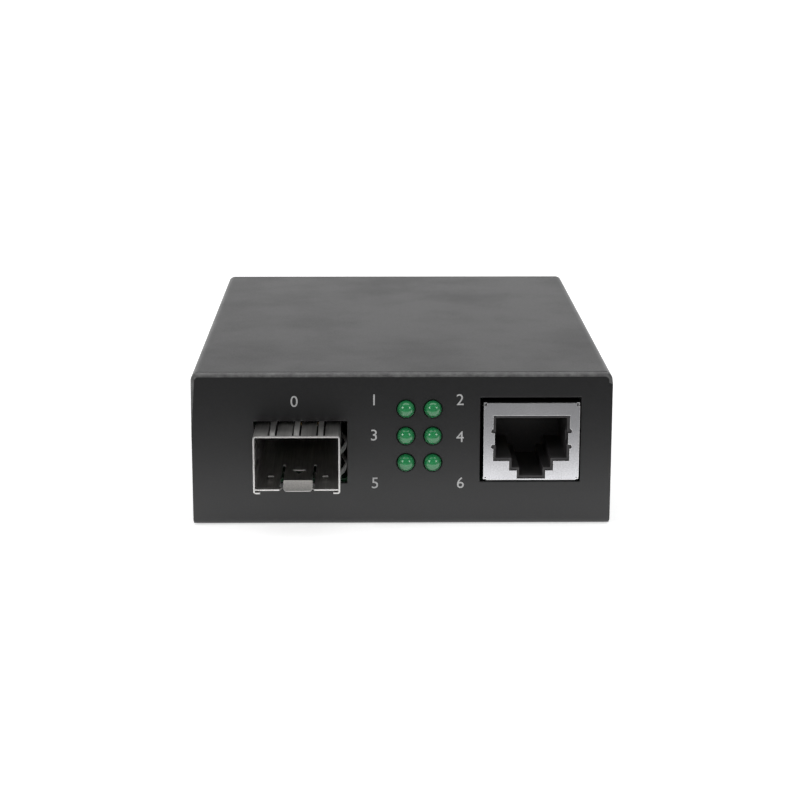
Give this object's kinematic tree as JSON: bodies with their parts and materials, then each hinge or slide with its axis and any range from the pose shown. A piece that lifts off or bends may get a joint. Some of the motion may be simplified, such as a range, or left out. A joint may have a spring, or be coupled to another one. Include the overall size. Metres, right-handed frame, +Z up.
{
  "type": "fibre media converter",
  "caption": "Flat folded-steel media converter: pluggable transceiver cage, indicator lamps and shielded network jack in front, power inlet at the rear.",
  "frame": {"origin": "middle of the underside of the housing, not counting the cage that stands out in front", "axes": "+X to the right seen from the front, +Y from the front panel to the rear, +Z up"},
  "size_m": [0.0702, 0.1019, 0.0262],
  "materials": {
    "housing_paint": "satin black powder coat, fine grain",
    "black_screws": "black zinc",
    "zinc_hardware": "bright zinc plate",
    "board_laminate": "green solder mask, satin",
    "cage_metal": "nickel silver sheet, satin",
    "shield_metal": "tinned sheet, satin",
    "black_moulding": "moulded, low sheen",
    "gold_contacts": "gold flash over nickel",
    "lamp_green": "diffused green epoxy, glossy",
    "tinned_leads": "tinned, satin",
    "chip_epoxy": "moulded epoxy, matt",
    "can_metal": "bare aluminium, satin",
    "ferrite": "sintered ferrite, matt",
    "copper_winding": "enamelled copper wire",
    "ceramic_chips": "fired ceramic with tinned ends"
  },
  "bodies": {
    "root": {"board_screws": "zinc_hardware", "board_standoffs": "zinc_hardware", "bridge_chip": "chip_epoxy", "chassis_tray": "housing_paint", "chip_capacitors": "ceramic_chips", "chip_resistors": "ceramic_chips", "circuit_board": "board_laminate", "controller_chip": "chip_epoxy", "cover_screws": "black_screws", "crystal": "tinned_leads", "dc_inlet_housing": "black_moulding", "dc_inlet_pin": "tinned_leads", "dc_inlet_spring": "tinned_leads", "dc_inlet_terminals": "tinned_leads", "fuse": "chip_epoxy", "inductor_core": "ferrite", "inductor_winding": "copper_winding", "input_capacitor": "can_metal", "input_capacitor_base": "black_moulding", "led_holder": "black_moulding", "led_leads_1": "tinned_leads", "led_leads_2": "tinned_leads", "led_leads_3": "tinned_leads", "led_leads_4": "tinned_leads", "led_leads_5": "tinned_leads", "led_leads_6": "tinned_leads", "led_lens_1": "lamp_green", "led_lens_2": "lamp_green", "led_lens_3": "lamp_green", "led_lens_4": "lamp_green", "led_lens_5": "lamp_green", "led_lens_6": "lamp_green", "line_transformer": "chip_epoxy", "memory_chip": "chip_epoxy", "memory_pins": "tinned_leads", "output_capacitor": "can_metal", "output_capacitor_base": "black_moulding", "regulator_pins": "tinned_leads", "rj45_contacts": "gold_contacts", "rj45_housing": "black_moulding", "rj45_shield": "shield_metal", "sfp_cage_floor": "cage_metal", "sfp_cage_shell": "cage_metal", "sfp_connector_contacts": "gold_contacts", "sfp_connector_housing": "black_moulding", "top_cover": "housing_paint", "transformer_pins": "tinned_leads", "voltage_regulator": "chip_epoxy"}
  },
  "joints": []
}
